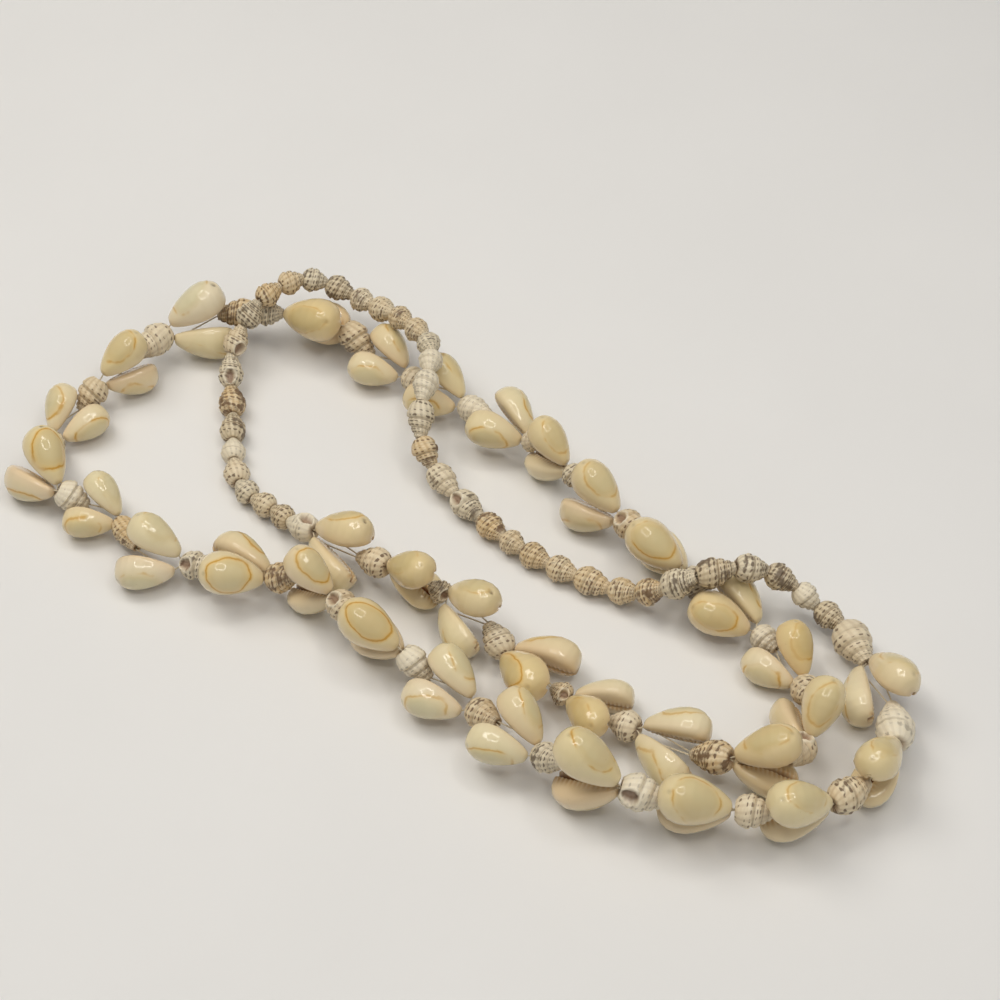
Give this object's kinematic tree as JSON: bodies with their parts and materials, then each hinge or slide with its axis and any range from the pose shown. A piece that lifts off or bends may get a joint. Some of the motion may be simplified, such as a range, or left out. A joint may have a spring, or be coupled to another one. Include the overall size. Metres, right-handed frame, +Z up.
{
  "type": "cowrie shell necklace",
  "caption": "Long closed necklace of paired ring cowries and small banded whelk shells on a doubled thread, laid flat in a folded loop.",
  "frame": {"origin": "centre of the bounding box at the surface that the necklace lies on", "axes": "+X along the length of the laid loop, +Y away from the viewer of the picture, +Z up from the surface"},
  "size_m": [0.2291, 0.1775, 0.0264],
  "materials": {
    "cowrie": "polished porcelain-like shell",
    "whelk": "ribbed shell with rows of dark dashes",
    "thread": "twisted cotton"
  },
  "bodies": {
    "root": {"cowrie_pair_01": "cowrie", "cowrie_pair_02": "cowrie", "cowrie_pair_03": "cowrie", "cowrie_pair_04": "cowrie", "cowrie_pair_05": "cowrie", "cowrie_pair_06": "cowrie", "cowrie_pair_07": "cowrie", "cowrie_pair_08": "cowrie", "cowrie_pair_09": "cowrie", "cowrie_pair_10": "cowrie", "cowrie_pair_11": "cowrie", "cowrie_pair_12": "cowrie", "cowrie_pair_13": "cowrie", "cowrie_pair_14": "cowrie", "cowrie_pair_15": "cowrie", "cowrie_pair_16": "cowrie", "cowrie_pair_17": "cowrie", "cowrie_pair_18": "cowrie", "cowrie_pair_19": "cowrie", "cowrie_pair_20": "cowrie", "cowrie_pair_21": "cowrie", "cowrie_pair_22": "cowrie", "cowrie_pair_23": "cowrie", "cowrie_pair_24": "cowrie", "cowrie_pair_25": "cowrie", "cowrie_pair_26": "cowrie", "cowrie_pair_27": "cowrie", "cowrie_pair_28": "cowrie", "cowrie_pair_29": "cowrie", "cowrie_pair_30": "cowrie", "cowrie_pair_31": "cowrie", "cowrie_pair_32": "cowrie", "cowrie_pair_33": "cowrie", "spacer_shells": "whelk", "back_shells": "whelk", "thread": "thread"}
  },
  "joints": []
}
